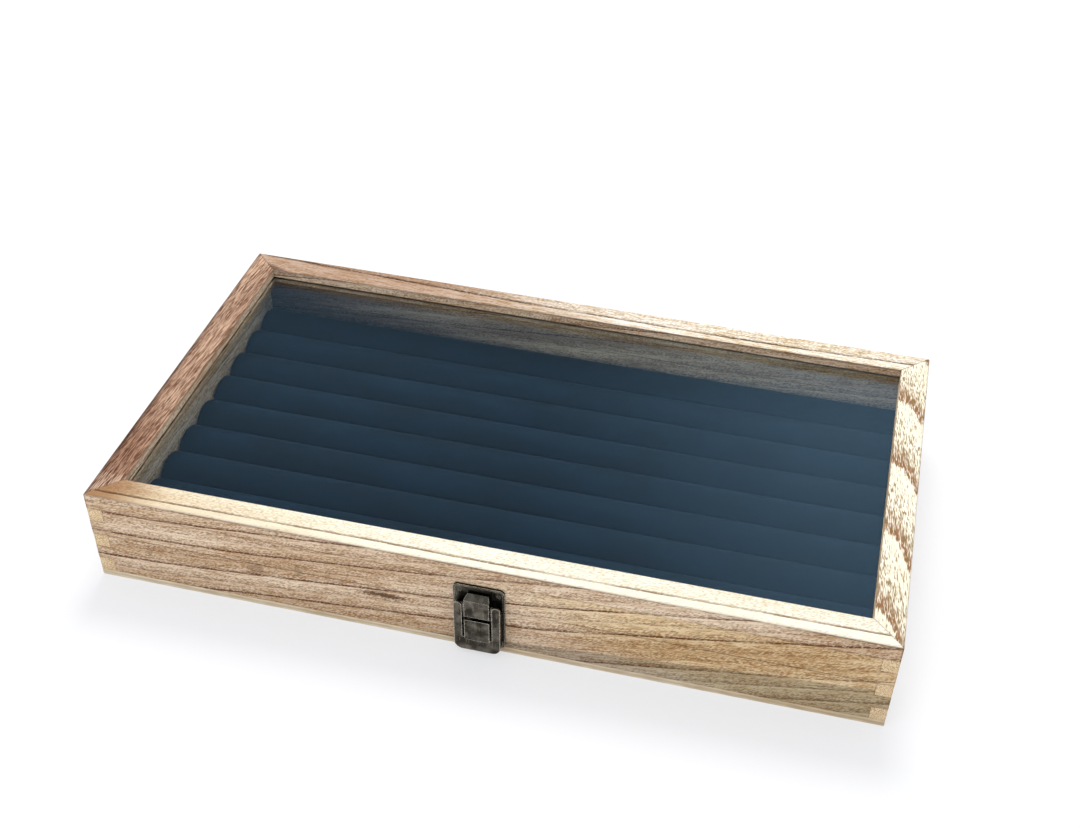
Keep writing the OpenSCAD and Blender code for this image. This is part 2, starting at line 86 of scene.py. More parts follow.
def ramp(tree, value, low, high, to_low=0.0, to_high=1.0):
    """Smooth step from one number to another while the value goes from low to high."""
    return place(tree, "MapRange", {"Value": value, "From Min": low, "From Max": high,
                                    "To Min": to_low, "To Max": to_high},
                 interpolation_type="SMOOTHSTEP").outputs[0]


MIX_SHARE, MIX_UNDER, MIX_OVER, MIX_RESULT = 0, 6, 7, 2  # a Mix node's sockets for colours


def stain(tree, share, under, over, how="MIX"):
    """A colour laid over another by a share from 0 to 1."""
    return place(tree, "Mix", {MIX_SHARE: share, MIX_UNDER: under, MIX_OVER: over},
                 data_type="RGBA", blend_type=how).outputs[MIX_RESULT]


def new_finish(name):
    """An empty material and its node tree."""
    finish = bpy.data.materials.new(name)
    finish.use_nodes = True
    finish.node_tree.nodes.clear()
    return finish, finish.node_tree


print("colour of the table:", [round(part, 3) for part in paint("eceef2")])

# %% [markdown]
# ## Table
# The table could be a cyclorama, a sheet that curves up behind the box. But the box is seen from
# all sides, so a wide flat disc is simpler, and the white that grows with distance does the work
# of the curve.


# %% Table
TABLE_RADIUS = 4.0
NEAR_TABLE, FAR_TABLE = 0.5, 1.4  # distances between which the white grows
NEAR_WHITE = 0.56  # share of white round the box, low enough to keep its shadow


def looking_rays(tree):
    """1 for rays from the camera, from a mirror or through glass, and 0 for light's own rays."""
    path = place(tree, "LightPath")
    mirror = calc(tree, "MAXIMUM", path.outputs["Is Camera Ray"], path.outputs["Is Glossy Ray"])
    return calc(tree, "MAXIMUM", mirror, path.outputs["Is Transmission Ray"])


def table_finish():
    """Plain white paint, mixed with a white of its own for rays that look."""
    finish, tree = new_finish("white_table")
    own = place(tree, "BsdfDiffuse", {"Color": paint("eceef2")})
    white = place(tree, "Emission", {"Color": (1, 1, 1, 1), "Strength": 1.05})
    here = place(tree, "TexCoord").outputs["Object"]
    away = place(tree, "VectorMath", {0: here}, operation="LENGTH").outputs["Value"]
    share = calc(tree, "MULTIPLY", looking_rays(tree),
                 ramp(tree, away, NEAR_TABLE, FAR_TABLE, NEAR_WHITE, 1.0))
    both = place(tree, "MixShader", {0: share, 1: own.outputs[0], 2: white.outputs[0]})
    place(tree, "OutputMaterial", {"Surface": both.outputs[0]})
    return finish


def new_object(name, work):
    """A mesh object at the origin from a bmesh, which is used up."""
    mesh = bpy.data.meshes.new(name)
    work.to_mesh(mesh)
    work.free()
    piece = bpy.data.objects.new(name, mesh)
    bpy.context.scene.collection.objects.link(piece)
    return piece


work = bmesh.new()
bmesh.ops.create_circle(work, cap_ends=True, segments=96, radius=TABLE_RADIUS)
table = new_object("table", work)
table.data.materials.append(table_finish())
print("table radius:", round(table.dimensions.x / 2, 2))

# %% [markdown]
# ## Room
# Glass and metal look like nothing unless they have something to mirror. An all-white room would
# lay a milky veil over the whole pane, and a black one would hide that there is a pane at all.
# So the world has three parts. The camera sees plain white. The box is lit by an even, nearly
# white sky. Mirrors and panes see a room that is white near the table, dim blue-grey higher up,
# over twice as bright on one side, and pale right overhead.

# %% Room
# A direction's X and Z, from -1 to 1, tell where one part of the room gives way to the next.
SIDE_EDGE, BRIGHT_SIDE = (-0.2, 0.06), 2.6
HORIZON_EDGE = (0.2, 0.55)
CEILING_EDGE = (0.82, 0.93)

world = bpy.data.worlds.new("studio")
bpy.context.scene.world = world
world.use_nodes = True
tree = world.node_tree
tree.nodes.clear()
way = place(tree, "SeparateXYZ", {0: place(tree, "TexCoord").outputs["Generated"]}).outputs
side = ramp(tree, way["X"], *SIDE_EDGE, 1.0, BRIGHT_SIDE)
dim = place(tree, "VectorMath", {0: paint("66849c")[:3], "Scale": side},
            operation="SCALE").outputs[0]
room = stain(tree, ramp(tree, way["Z"], *HORIZON_EDGE), paint("f8faff"), dim)
room = stain(tree, ramp(tree, way["Z"], *CEILING_EDGE), room, paint("c9ccce"))
path = place(tree, "LightPath")
bent = calc(tree, "MAXIMUM", path.outputs["Is Glossy Ray"], path.outputs["Is Transmission Ray"])
lit = place(tree, "Background", {"Color": paint("f4f7ff"), "Strength": 0.80})
mirrored = place(tree, "Background", {"Color": room, "Strength": 1.0})
white = place(tree, "Background", {"Color": (1, 1, 1, 1), "Strength": 1.0})
first = place(tree, "MixShader", {0: bent, 1: lit.outputs[0], 2: mirrored.outputs[0]})
last = place(tree, "MixShader", {0: path.outputs["Is Camera Ray"], 1: first.outputs[0],
                                 2: white.outputs[0]})
place(tree, "OutputWorld", {"Surface": last.outputs[0]})
print("nodes of the room:", len(tree.nodes))

# %% [markdown]
# ## Lamps
# Two round lamps are enough. The strong one is nearly twice as wide as the box, so its shadows are
# soft, and it brings out the bevels of the top frame. The weak one, in front, keeps the front
# board from going dull.

# %% Lamps
BOX_MIDDLE = (0.0, 0.0, 0.03)


def soft_lamp(name, place_at, size, power, colour):
    """A round area lamp that points at the box."""
    lamp = bpy.data.lights.new(name, "AREA")
    lamp.shape = "DISK"
    lamp.size = size
    lamp.energy = power
    lamp.color = paint(colour)[:3]
    holder = bpy.data.objects.new(name, lamp)
    holder.location = place_at
    aim = Vector(BOX_MIDDLE) - Vector(place_at)
    holder.rotation_euler = aim.to_track_quat("-Z", "Y").to_euler()
    bpy.context.scene.collection.objects.link(holder)
    print(name, "lamp:", power, "W at", place_at)


soft_lamp("key", (-0.08, 0.85, 1.50), size=0.7, power=18.0, colour="fffaf2")
soft_lamp("fill", (-0.7, -1.3, 0.9), size=1.2, power=4.0, colour="f6f8ff")

# %% [markdown]
# ## Camera
# The camera looks down at 42 degrees from a little to the right of the middle, with a slight
# roll. Its place is given as three angles and a point, since a matrix built from them is easier
# to read and to change than sixteen numbers.

# %% Camera
def look(place_at, azimuth, elevation, roll):
    """Matrix of a camera that looks towards +Y turned left by azimuth, and down by elevation."""
    a, e, r = (math.radians(v) for v in (azimuth, elevation, roll))
    ahead = Vector((-math.sin(a) * math.cos(e), math.cos(a) * math.cos(e), -math.sin(e)))
    level = ahead.cross(Vector((0, 0, 1))).normalized()
    upward = level.cross(ahead)
    right = level * math.cos(r) + upward * math.sin(r)
    top = upward * math.cos(r) - level * math.sin(r)
    turn = Matrix((right, top, -ahead)).transposed().to_4x4()
    return Matrix.Translation(place_at) @ turn


lens = bpy.data.cameras.new("camera")
lens.lens = 48.434
lens.sensor_width = 36.0
lens.shift_x = -0.037
lens.shift_y = 0.074
lens.clip_start = 0.01
camera = bpy.data.objects.new("camera", lens)
camera.matrix_world = look(place_at=(0.13332, -0.53902, 0.50576), azimuth=11.462,
                           elevation=42.040, roll=2.367)
bpy.context.scene.collection.objects.link(camera)
bpy.context.scene.camera = camera
bpy.context.scene.view_settings.view_transform = "Standard"
print("camera at", [round(v, 3) for v in camera.matrix_world.translation], "lens", lens.lens)

# %% [markdown]
# ## Patterns that several finishes share
# Every wooden piece is cut from a log, so the figure is built in the log's own space: growth
# rings are shells round the pith, which runs along X, and fibres and pores are long and thin
# along it. A board then only says where the pith runs. A flat image would show the same picture
# on all six faces, while this gives arcs on a broad face and rings on end grain by itself.


# %% A new group with its sockets
def new_group(name, takes, gives):
    """A shader node group, the node that holds its inputs and a way to set its outputs."""
    tree = bpy.data.node_groups.new(name, "ShaderNodeTree")
    kinds = {"f": "NodeSocketFloat", "v": "NodeSocketVector", "c": "NodeSocketColor"}
    for way, sockets in (("INPUT", takes), ("OUTPUT", gives)):
        for label, kind in sockets.items():
            tree.interface.new_socket(label, in_out=way, socket_type=kinds[kind])
    start = tree.nodes.new("NodeGroupInput").outputs
    end = tree.nodes.new("NodeGroupOutput").inputs

    def give(label, value):
        tree.links.new(value, end[label])

    return tree, start, give


def use_group(tree, group, values):
    """Places a group with a number or a link for each of its inputs, and returns its outputs."""
    return place(tree, "Group", values, node_tree=group).outputs


def stretch(tree, vector, by):
    """The vector with each axis multiplied by its own number."""
    return place(tree, "VectorMath", {0: vector, 1: by}, operation="MULTIPLY").outputs[0]


def mottle(tree, vector, detail):
    """Soft patches from 0 to 1, about one in each unit of the vector."""
    return place(tree, "TexNoise", {"Vector": vector, "Scale": 1.0, "Detail": detail,
                                    "Roughness": 0.5}).outputs["Fac"]


# %% Figure of the wood
# How many patches each noise has in a metre: along the fibres, and twice across them.
BENDS = (5, 32, 32)
RAGS = (120, 1100, 1100)
BREAKS = (26, 170, 170)
COARSE_STREAKS = (22, 480, 480)
FINE_STREAKS = (110, 1400, 1400)
PORES = (260, 2300, 2300)
CLOUDS = (9, 70, 70)
RAG_DEPTH = 0.0007  # metres by which the border of a ring wanders
RING_START = 0.0002  # metres over which a dark line begins
LINE_CORE = 0.4  # share of a line's width that is fully dark
BAND_FADE = (0.08, 0.42)  # where in a ring its broad band fades out
BREAK_EDGE, BREAK_LEAST = (0.36, 0.56), 0.5
FAINT_RING, RING_EDGE = 0.05, (0.3, 0.9)  # few rings are strong, and many are faint
COARSE_SHARE = 0.2
END_GRAIN = (0.75, 0.92)  # how far a face looks along the log where end grain begins


def wood_figure_group():
    """Masks of a log whose pith runs along X: rings, phase in a ring, streaks, pores, clouds."""
    tree, start, give = new_group(
        "wood figure",
        {"Vector": "v", "Facing": "v", "Ring pitch": "f", "Line": "f", "Band": "f",
         "Least": "f", "Wander": "f", "Bow": "v", "Slant": "f", "Grain": "v"},
        {"Rings": "f", "Phase": "f", "Streaks": "f", "Pores": "f", "Clouds": "f", "End": "f"})
    along = place(tree, "SeparateXYZ", {0: start["Vector"]}).outputs["X"]
    sag = place(tree, "VectorMath", {0: start["Bow"], "Scale": calc(tree, "POWER", along, 2.0)},
                operation="SCALE").outputs[0]
    log = place(tree, "VectorMath", {0: start["Vector"], 1: sag}, operation="SUBTRACT").outputs[0]
    bend = place(tree, "TexNoise", {"Vector": stretch(tree, log, BENDS), "Scale": 1.0,
                                    "Detail": 2.0}).outputs["Color"]
    bend = place(tree, "VectorMath", {0: bend, 1: (0.5, 0.5, 0.5)}, operation="SUBTRACT")
    bend = place(tree, "VectorMath", {0: bend.outputs[0], "Scale": start["Wander"]},
                 operation="SCALE")
    bent = place(tree, "VectorMath", {0: log, 1: bend.outputs[0]}, operation="ADD").outputs[0]
    radius = place(tree, "VectorMath", {0: stretch(tree, bent, (0, 1, 1))},
                   operation="LENGTH").outputs["Value"]
    ragged = mottle(tree, stretch(tree, bent, RAGS), 2.0)
    radius = calc(tree, "ADD", radius, calc(tree, "MULTIPLY", ragged, RAG_DEPTH))
    count = calc(tree, "DIVIDE", radius, start["Ring pitch"])
    phase = calc(tree, "FRACT", count)
    depth = calc(tree, "MULTIPLY", phase, start["Ring pitch"])
    core = calc(tree, "MULTIPLY", start["Line"], LINE_CORE)
    line = ramp(tree, depth, core, start["Line"], 1, 0)
    band = calc(tree, "MULTIPLY", ramp(tree, phase, *BAND_FADE, 1, 0), start["Band"])
    broken = ramp(tree, mottle(tree, stretch(tree, bent, BREAKS), 3.0), *BREAK_EDGE,
                  BREAK_LEAST, 1.0)
    both = calc(tree, "MAXIMUM", calc(tree, "MULTIPLY", line, broken), band)
    both = calc(tree, "MULTIPLY", both, ramp(tree, depth, 0, RING_START))
    each = place(tree, "TexWhiteNoise", {"W": calc(tree, "FLOOR", count)},
                 noise_dimensions="1D").outputs["Value"]
    strong = calc(tree, "MAXIMUM", ramp(tree, each, *RING_EDGE, FAINT_RING, 1.0),
                  start["Least"])
    give("Rings", calc(tree, "MULTIPLY", both, strong))
    give("Phase", phase)
    grain = stretch(tree, bent, start["Grain"])
    coarse = mottle(tree, stretch(tree, grain, COARSE_STREAKS), 2.0)
    fine = mottle(tree, stretch(tree, grain, FINE_STREAKS), 1.0)
    give("Streaks", calc(tree, "ADD", calc(tree, "MULTIPLY", coarse, COARSE_SHARE),
                         calc(tree, "MULTIPLY", fine, 1 - COARSE_SHARE)))
    turn = place(tree, "CombineXYZ", {1: start["Slant"],
                                      2: calc(tree, "MULTIPLY", start["Slant"], -1.0)})
    slanted = place(tree, "Mapping", {"Vector": bent, "Rotation": turn.outputs[0]}).outputs[0]
    give("Pores", mottle(tree, stretch(tree, slanted, PORES), 1.0))
    give("Clouds", mottle(tree, stretch(tree, log, CLOUDS), 3.0))
    ahead = place(tree, "SeparateXYZ", {0: start["Facing"]}).outputs["X"]
    give("End", ramp(tree, calc(tree, "ABSOLUTE", ahead), *END_GRAIN))
    return tree


wood_figure = wood_figure_group()
print("nodes of the wood figure:", len(wood_figure.nodes))


# %% Colours of the wood
# Where each mask turns from none to full.
CLOUD_EDGE = (0.32, 0.68)
STREAK_EDGE = (0.44, 0.58)
PORE_EDGE = (0.49, 0.58)
SHINE_EDGE = (0.46, 0.36)
BARE_EDGE, BARE_SHARE = (0.4, 1.0), 0.12  # pores grow fewer towards the end of a ring
SHINE_SHARE = 0.9


def wood_tones_group():
    """Turns the figure's masks into a colour: pale wood, mid streaks, dark rings and pores."""
    tree, start, give = new_group(
        "wood tones",
        {"Rings": "f", "Phase": "f", "Streaks": "f", "Pores": "f", "Clouds": "f", "Pale": "c",
         "Mid": "c", "Dark": "c", "Pore": "c", "Ring depth": "f", "Streak depth": "f",
         "Pore depth": "f", "Cloud depth": "f"},
        {"Color": "c"})
    cloud = ramp(tree, start["Clouds"], *CLOUD_EDGE)
    cloud = calc(tree, "MULTIPLY", cloud, start["Cloud depth"])
    streak = ramp(tree, start["Streaks"], *STREAK_EDGE)
    streak = calc(tree, "MULTIPLY", streak, start["Streak depth"])
    colour = stain(tree, calc(tree, "ADD", cloud, streak), start["Pale"], start["Mid"])
    ring = calc(tree, "MULTIPLY", start["Rings"], start["Ring depth"])
    colour = stain(tree, ring, colour, start["Dark"])
    bare = ramp(tree, start["Phase"], *BARE_EDGE, 0.0, BARE_SHARE)
    open_pore = ramp(tree, calc(tree, "SUBTRACT", start["Pores"], bare), *PORE_EDGE)
    colour = stain(tree, calc(tree, "MULTIPLY", open_pore, start["Pore depth"]), colour,
                   start["Pore"])
    shine = ramp(tree, start["Pores"], *SHINE_EDGE)
    shine = calc(tree, "MULTIPLY", shine, start["Pore depth"])
    colour = stain(tree, calc(tree, "MULTIPLY", shine, SHINE_SHARE), colour, start["Pale"])
    give("Color", colour)
    return tree


wood_tones = wood_tones_group()
print("nodes of the wood tones:", len(wood_tones.nodes))


# %% Edges
EDGE_TURN = (0.99, 0.80)  # cosine between the normals where an edge begins and where it is full


def edge_group():
    """A mask that is 1 on edges and corners: the surface's own normal against a rounded one."""
    tree, start, give = new_group("edges", {"Reach": "f"}, {"Edge": "f"})
    rounded = place(tree, "Bevel", {"Radius": start["Reach"]}, samples=6).outputs[0]
    flat = place(tree, "NewGeometry").outputs["Normal"]
    same = place(tree, "VectorMath", {0: rounded, 1: flat}, operation="DOT_PRODUCT")
    give("Edge", ramp(tree, same.outputs["Value"], *EDGE_TURN))
    return tree


edges = edge_group()
print("groups:", [group.name for group in bpy.data.node_groups])

# %% [markdown]
# ## Wood
# The boards are a light, fast-grown timber that was scorched and brushed. The flame darkens the
# hard late wood and every thin edge, and leaves the soft early wood nearly cream. A finish could
# be painted by hand for each board, but then no two boards would look like one timber. So one
# function makes the finish, and each board gives it its own pith and rings. A stick of the top
# frame adds a pith and tones for its top, and these tones are partly painted light. Tints and
# blots are laid over that where a board has a stain or a small knot, and the tint on the back
# board is painted shade. A tint grows along a direction, from one distance to another, with a
# ragged border.


# %% Log, tones and stains of a board
RAGGED = 0.9  # raggedness of a tint's border, as a share of the width over which it grows
BLOT_EDGE = (0.5, -0.1)  # from none to full, in half sizes of the spot, less the pores


def tones_of(tree, figure, tones, depths):
    """Colour of the figure from four tones and the depths of rings, streaks, pores and clouds."""
    values = {name: figure[name] for name in ("Rings", "Phase", "Streaks", "Pores", "Clouds")}
    values.update(zip(("Pale", "Mid", "Dark", "Pore"), map(paint, tones)))
    values.update(zip(("Ring depth", "Streak depth", "Pore depth", "Cloud depth"), depths))
    return use_group(tree, wood_tones, values)["Color"]


def fade(tree, here, along, low, high, clouds):
    """Mask that grows from 0 to 1 along a direction, with a ragged border."""
    way = place(tree, "VectorMath", {0: here, 1: along}, operation="DOT_PRODUCT")
    ragged = calc(tree, "MULTIPLY", calc(tree, "SUBTRACT", clouds, 0.5), (high - low) * RAGGED)
    return ramp(tree, calc(tree, "ADD", way.outputs["Value"], ragged), low, high)


def figure_of(tree, spot, pith, lean, pitch=0.005, line=0.0009, band=0.30, least=0.0,
              wander=0.004, bow=(0, 0, 0), slant=0.26, grain=(1, 1, 1)):
    """The figure's masks for a log whose pith passes through a point and leans by three angles."""
    log = place(tree, "Mapping", {"Vector": spot.outputs["Object"], "Location": pith,
                                  "Rotation": lean}, vector_type="TEXTURE").outputs[0]
    facing = place(tree, "Mapping", {"Vector": spot.outputs["Normal"], "Rotation": lean},
                   vector_type="TEXTURE").outputs[0]
    return use_group(tree, wood_figure, {
        "Vector": log, "Facing": facing, "Ring pitch": pitch, "Line": line, "Band": band,
        "Least": least, "Wander": wander, "Bow": bow, "Slant": slant, "Grain": grain})


def patched(tree, colour, here, clouds, patches):
    """Tints laid over a colour, each growing along its direction."""
    for along, low, high, code, share in patches:
        mask = fade(tree, here, along, low, high, clouds)
        colour = stain(tree, calc(tree, "MULTIPLY", mask, share), colour, paint(code), "MULTIPLY")
    return colour


def blotted(tree, colour, here, pores, marks):
    """Small dark spots at (x, z), each with its half length, half height and strength."""
    for x, z, half, high, share in marks:
        away = place(tree, "VectorMath", {0: here, 1: (x, 0, z)}, operation="SUBTRACT").outputs[0]
        away = stretch(tree, away, (1 / half, 0, 1 / high))
        reach = place(tree, "VectorMath", {0: away}, operation="LENGTH").outputs["Value"]
        reach = calc(tree, "SUBTRACT", reach, pores)
        mask = calc(tree, "MULTIPLY", ramp(tree, reach, *BLOT_EDGE), share)
        colour = stain(tree, mask, colour, paint("5a3a22"))
    return colour


# %% Scorched wood
BURNT_EDGE = 0.0011  # how far the flame darkened the wood beside an edge
SINGED = (0.0018, 0.0008)  # depths below a stick's top between which its sides get singed
SIDE_BURN, STICK_BURN, SINGE_SHARE, END_SHARE = 0.5, 0.85, 0.6, 0.8
FACING_UP = (0.25, 0.8)  # height of a normal's tip from a stick's side to its top
SAWN_EDGE = (0.45, 0.6)  # pores on end grain
PATCHY_EDGE, PATCHY_LEAST = (0.25, 0.6), 0.35  # the flame darkened some stretches less
ROUGH_EDGE, ROUGHNESS = (0.35, 0.65), (0.50, 0.70)
SUNK_STREAKS, PROUD_WOOD, SUNK_PORES = -0.8, 0.4, (0.52, 0.62)  # relief of the brushed grain
GRAIN_DEPTH = 0.00012


def scorched_wood(name, board, tones, depths, patches=(), marks=(), top=None):
    """Finish of a board. A stick of the top frame gives its own top besides the board's sides."""
    finish, tree = new_finish(name)
    spot = place(tree, "TexCoord")
    here = spot.outputs["Object"]
    figure = figure_of(tree, spot, **board)
    colour = patched(tree, tones_of(tree, figure, tones, depths), here, figure["Clouds"], patches)
    colour = blotted(tree, colour, here, figure["Pores"], marks)
    sawn = ramp(tree, figure["Pores"], *SAWN_EDGE)
    cut = stain(tree, sawn, paint("f2d9ac"), paint("c4a074"))
    colour = stain(tree, calc(tree, "MULTIPLY", figure["End"], END_SHARE), colour, cut)
    edge = use_group(tree, edges, {"Reach": BURNT_EDGE})["Edge"]
    patchy = ramp(tree, figure["Clouds"], *PATCHY_EDGE, PATCHY_LEAST, 1.0)
    if top:
        level = place(tree, "SeparateXYZ", {0: here}).outputs["Z"]
        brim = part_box("top_frame_front")[1].z
        singed = ramp(tree, level, brim - SINGED[0], brim - SINGED[1])
        singed = calc(tree, "MULTIPLY", singed, patchy)
        colour = stain(tree, calc(tree, "MULTIPLY", singed, SINGE_SHARE), colour,
                       paint("6f5240"))
        own = figure_of(tree, spot, **top["figure"])
        face = patched(tree, tones_of(tree, own, top["tones"], top["depths"]), here,
                       own["Clouds"], top["patches"])
        # Where the surface faces up, the top's own grain comes with paler tones, and that paleness
        # is partly painted light from the lamp above.
        up = place(tree, "SeparateXYZ", {0: spot.outputs["Normal"]}).outputs["Z"]
        colour = stain(tree, ramp(tree, up, *FACING_UP), colour, face)
    scorch = calc(tree, "MULTIPLY", calc(tree, "MULTIPLY", edge, patchy),
                  STICK_BURN if top else SIDE_BURN)
    colour = stain(tree, scorch, colour, paint("5b4130"))
    rough = ramp(tree, figure["Streaks"], *ROUGH_EDGE, *ROUGHNESS)
    height = calc(tree, "ADD", calc(tree, "MULTIPLY", figure["Streaks"], SUNK_STREAKS),
                  ramp(tree, figure["Pores"], *SUNK_PORES, PROUD_WOOD, 0.0))
    relief = place(tree, "Bump", {"Height": height, "Strength": 0.5, "Distance": GRAIN_DEPTH})
    skin = place(tree, "BsdfPrincipled", {"Base Color": colour, "Roughness": rough,
                                          "Specular IOR Level": 0.12,
                                          "Normal": relief.outputs[0]})
    place(tree, "OutputMaterial", {"Surface": skin.outputs[0]})
    return finish


def finish_node(name, finish):
    """Gives a CAD node its finish."""
    for slot in nodes[name].material_slots:
        slot.material = finish


# %% Boards of the base and the lid
# The box was glued up whole and then sawn apart, so the figure runs on from base to lid. Each
# board has its pith as a point and three angles, and then the rings: their pitch, the width of
# a dark line, the strength of a broad band, the least strength of any ring, and how far they
# wander and bow.
QUARTER = math.pi / 2
BOARD = {"tones": ("f4ddbf", "b8936b", "58290a", "6b411c"), "depths": (1.0, 0.5, 0.5, 0.7)}
WALLS = {
    "front": {"pith": (0, -0.100, -0.072), "lean": (0, -0.125, 0), "pitch": 0.0068,
              "line": 0.0017, "band": 0.3, "least": 0.12, "bow": (0, 0, 0.24), "wander": 0.009},
    "back": {"pith": (0, 0.085, -0.050), "lean": (0, -0.07, 0.03), "pitch": 0.0065},
    "left": {"pith": (-0.165, 0, -0.045), "lean": (0, 0.05, QUARTER + 0.02), "pitch": 0.006},
    "right": {"pith": (0.165, 0, -0.050), "lean": (0, -0.05, QUARTER + 0.02), "pitch": 0.0066},
}
# A tint: its direction, the distances where it begins and is full, its colour and strength.
# The back board's tint is painted shade: it darkens the boards towards the left, for the shadow
# that the top frame casts on the inside of the back wall.
STAINS_AND_SHADE = {"back": [((-1, 0, 0), -0.10, 0.19, "78737f", 1.0)],
         "front": [((-0.092, 0, 1.0), 0.0068, 0.0056, "d2d6d8", 1.0),
                   ((0.6, 0, 1.0), 0.03, 0.08, "fffbe4", 0.9)]}
# A mark: its middle in x and z, half its length and height, and its strength.
MARKS = {"front": [(-0.045, 0.0226, 0.0150, 0.0022, 0.9), (-0.107, 0.0235, 0.0060, 0.0050, 0.3),
                   (-0.085, 0.0276, 0.0024, 0.0060, 0.3), (-0.160, 0.0220, 0.0020, 0.0050, 0.3)]}
for side, values in WALLS.items():
    finish = scorched_wood("wood_" + side, values, patches=STAINS_AND_SHADE.get(side, ()),
                           marks=MARKS.get(side, ()), **BOARD)
    finish_node("lid_" + side + "_board", finish)
    finish_node("base_" + side + "_board", finish)
    print(finish.name, "nodes:", len(finish.node_tree.nodes))

# %% Sticks of the top frame
# Most tops are lighter than the sides below them, since the flame only licked over the edges, and
# their paler tones are also painted light from the lamp above.
# The front and back sticks have one dark line each, the left one is dark and streaky, and the
# right one was cut across a row of rings.
STICKS = {
    "front": {"figure": {"pith": (0, -0.1335, 0.040), "lean": (0, 0, 0.003), "pitch": 0.035,
                         "line": 0.0018, "band": 0.0, "least": 1.0, "wander": 0.004},
              "tones": ("fdf7e4", "efe0bf", "6a5230", "a5855c"), "depths": (0.9, 0.3, 0.4, 0.45),
              "patches": [((-1, 0, 0), 0.146, 0.182, "b99880", 0.9),
                          ((-0.3, -1, 0), 0.118, 0.160, "d6bd98", 0.7)]},
    "back": {"figure": {"pith": (0, 0.0667, 0.045), "lean": (0, 0, -0.0206), "pitch": 0.030,
                        "line": 0.0024, "band": 0.0, "least": 1.0, "wander": 0.004,
                        "bow": (0, 0.13, 0)},
             "tones": ("fff9ec", "d0b88f", "523a1d", "7c5e36"), "depths": (1.0, 0.7, 0.5, 0.4),
             "patches": [((-1, 0, 0), -0.10, 0.12, "bda497", 0.95),
                         ((-0.35, -1, 0), -0.0350, -0.0325, "8d7d72", 0.8)]},
    "left": {"figure": {"pith": (-0.166, 0, 0.008), "lean": (0, 0.03, QUARTER - 0.06),
                        "pitch": 0.0060, "wander": 0.0015, "slant": -0.05,
                        "grain": (0.75, 1.7, 1.7)},
             "tones": ("f6dfc5", "87644d", "5d4233", "4a3022"), "depths": (0.25, 1.0, 0.35, 0.4),
             "patches": [((-1, 0, 0), 0.183, 0.188, "7f6a62", 0.9),
                         ((0, -1, 0), 0.02, 0.07, "d8c7be", 0.8),
                         ((0, 1, 0), -0.0895, -0.0880, "cdb3a4", 0.7)]},
    "right": {"figure": {"pith": (0.1735, 0, 0.012), "lean": (0, 0.105, QUARTER),
                         "pitch": 0.0052, "line": 0.0003, "band": 1.0, "least": 1.0,
                         "wander": 0.0010, "slant": 0.1},
              "tones": ("faf3df", "eadbb4", "8f5a2e", "866a3e"), "depths": (0.95, 0.3, 0.9, 0.3),
              "patches": []}}
for side, top in STICKS.items():
    finish = scorched_wood("stick_" + side, WALLS[side], top=top, **BOARD)
    finish_node("top_frame_" + side, finish)
    print(finish.name, "nodes:", len(finish.node_tree.nodes))


# %% [markdown]
# ## Plywood bottom
# The bottom is thin plywood. From the side only its edge shows: two pale face plies with a darker
# core between them. The plies could be three thin solids, but they are one glued sheet, so the
# finish is layered by height instead.

# %% Plywood
CORE_START, CORE_END = (0.30, 0.36), (0.66, 0.72)  # shares of the sheet's thickness
PLY_WAVE = 0.0006  # metres by which the plies wave up and down


def plywood(name):
    finish, tree = new_finish(name)
    here = place(tree, "TexCoord").outputs["Object"]
    figure = use_group(tree, wood_figure, {
        "Vector": stretch(tree, here, (1, 0.12, 0.6)), "Ring pitch": 0.004, "Wander": 0.01,
        "Grain": (1, 1, 1)})
    tone = ramp(tree, figure["Clouds"], 0.3, 0.7)
    colour = stain(tree, tone, paint("f0e0c2"), paint("dcc6a2"))
    grain = ramp(tree, figure["Streaks"], 0.35, 0.65)
    colour = stain(tree, calc(tree, "MULTIPLY", grain, 0.3), colour, paint("a08258"))
    up = place(tree, "SeparateXYZ", {0: here}).outputs["Z"]
    wave = calc(tree, "MULTIPLY", calc(tree, "SUBTRACT", figure["Clouds"], 0.5), PLY_WAVE)
    level = calc(tree, "ADD", up, wave)
    low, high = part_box("bottom_panel")
    thick = high.z - low.z
    core = calc(tree, "MULTIPLY", ramp(tree, level, *(thick * share for share in CORE_START)),
                ramp(tree, level, *(thick * share for share in CORE_END), 1, 0))
    colour = stain(tree, calc(tree, "MULTIPLY", core, 0.25), colour, paint("8c6f4b"))
    rough = ramp(tree, figure["Streaks"], 0.3, 0.7, 0.6, 0.8)
    relief = place(tree, "Bump", {"Height": grain, "Strength": 0.3, "Distance": 0.0001})
    skin = place(tree, "BsdfPrincipled", {"Base Color": colour, "Roughness": rough,
                                          "Specular IOR Level": 0.3,
                                          "Normal": relief.outputs[0]})
    place(tree, "OutputMaterial", {"Surface": skin.outputs[0]})
    return finish


finish_node("bottom_panel", plywood("plywood"))

# %% [markdown]
# ## Glass
# The pane is clear float glass. Real glass bends and mirrors light, but it also throws sharp
# light patterns that a path tracer needs very long for. So lamps shine straight through it, and
# every other ray sees real glass.

# %% Pane
def clear_glass(name):
    finish, tree = new_finish(name)
    skin = place(tree, "BsdfPrincipled", {"Base Color": paint("f5fafb"), "Roughness": 0.0,
                                          "IOR": 1.5, "Transmission Weight": 1.0})
    through = place(tree, "BsdfTransparent", {"Color": paint("f2f8f7")})
    shadow = place(tree, "LightPath").outputs["Is Shadow Ray"]
    both = place(tree, "MixShader", {0: shadow, 1: skin.outputs[0], 2: through.outputs[0]})
    place(tree, "OutputMaterial", {"Surface": both.outputs[0]})
    return finish


finish_node("glass_pane", clear_glass("clear_glass"))
print("pane, mm:", [round(v * 1000, 1) for v in nodes["glass_pane"].dimensions])
